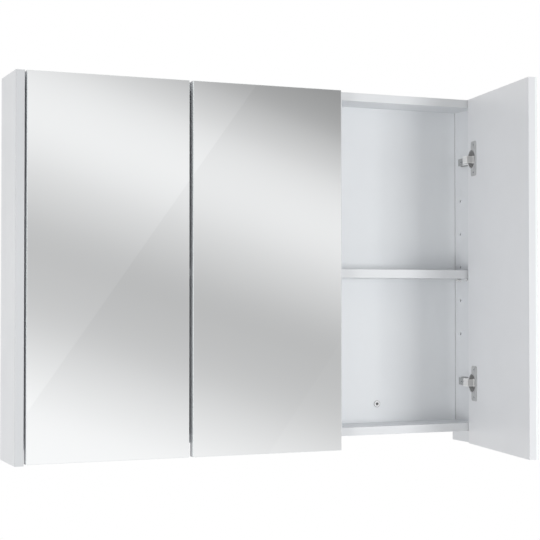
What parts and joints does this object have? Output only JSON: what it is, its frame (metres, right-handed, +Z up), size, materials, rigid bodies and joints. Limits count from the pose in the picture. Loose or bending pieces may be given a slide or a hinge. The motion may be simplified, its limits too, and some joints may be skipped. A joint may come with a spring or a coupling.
{
  "type": "bathroom mirror cabinet",
  "caption": "Wall-hung bathroom cabinet with inset mirror doors on concealed hinges, shelves on pins and a handle-free finger grip below.",
  "frame": {"origin": "middle of the rear face, on the wall plane", "axes": "+Y into the wall, +Z up, +X to the right seen from the front"},
  "size_m": [0.9, 0.3725, 0.65],
  "materials": {
    "board": "white gloss foil on board",
    "mirror": "silvered, polished edge",
    "nickel": "nickel plated",
    "zinc": "zinc plated",
    "beech": "raw beech",
    "eyelet": "white"
  },
  "bodies": {
    "cabinet": {"left_side_panel": "board", "right_side_panel": "board", "top_panel": "board", "bottom_panel": "board", "centre_divider": "board", "back_panel": "board", "left_shelf": "board", "right_shelf": "board", "left_shelf_pins": "zinc", "right_shelf_pins": "zinc", "dowels": "beech", "cam_locks": "zinc", "cam_bolts": "zinc", "hanger_plates": "zinc", "hanger_screws": "zinc", "wall_eyelets": "eyelet", "left_upper_hinge_arm": "nickel", "left_lower_hinge_arm": "nickel", "left_upper_hinge_plate": "nickel", "left_lower_hinge_plate": "nickel", "left_plate_screws": "zinc", "left_arm_screws": "zinc", "middle_upper_hinge_arm": "nickel", "middle_lower_hinge_arm": "nickel", "middle_upper_hinge_plate": "nickel", "middle_lower_hinge_plate": "nickel", "middle_plate_screws": "zinc", "middle_arm_screws": "zinc", "right_upper_hinge_arm": "nickel", "right_lower_hinge_arm": "nickel", "right_upper_hinge_plate": "nickel", "right_lower_hinge_plate": "nickel", "right_plate_screws": "zinc", "right_arm_screws": "zinc"},
    "left_door": {"left_door_panel": "board", "left_mirror": "mirror", "left_upper_hinge_cup": "nickel", "left_lower_hinge_cup": "nickel", "left_hinge_pins": "zinc", "left_cup_screws": "zinc"},
    "middle_door": {"middle_door_panel": "board", "middle_mirror": "mirror", "middle_upper_hinge_cup": "nickel", "middle_lower_hinge_cup": "nickel", "middle_hinge_pins": "zinc", "middle_cup_screws": "zinc"},
    "right_door": {"right_door_panel": "board", "right_mirror": "mirror", "right_upper_hinge_cup": "nickel", "right_lower_hinge_cup": "nickel", "right_hinge_pins": "zinc", "right_cup_screws": "zinc"}
  },
  "joints": [
    {"name": "left_door_swing", "type": "hinge", "parent": "cabinet", "child": "left_door", "pos_m": [-0.422, -0.1016, 0], "axis": [0, 0, -1], "range_deg": [0, 105]},
    {"name": "middle_door_swing", "type": "hinge", "parent": "cabinet", "child": "middle_door", "pos_m": [0.13233, -0.1016, 0], "axis": [0, 0, 1], "range_deg": [0, 105]},
    {"name": "right_door_swing", "type": "hinge", "parent": "cabinet", "child": "right_door", "pos_m": [0.422, -0.1016, 0], "axis": [0, 0, 1], "range_deg": [-80, 25]}
  ]
}
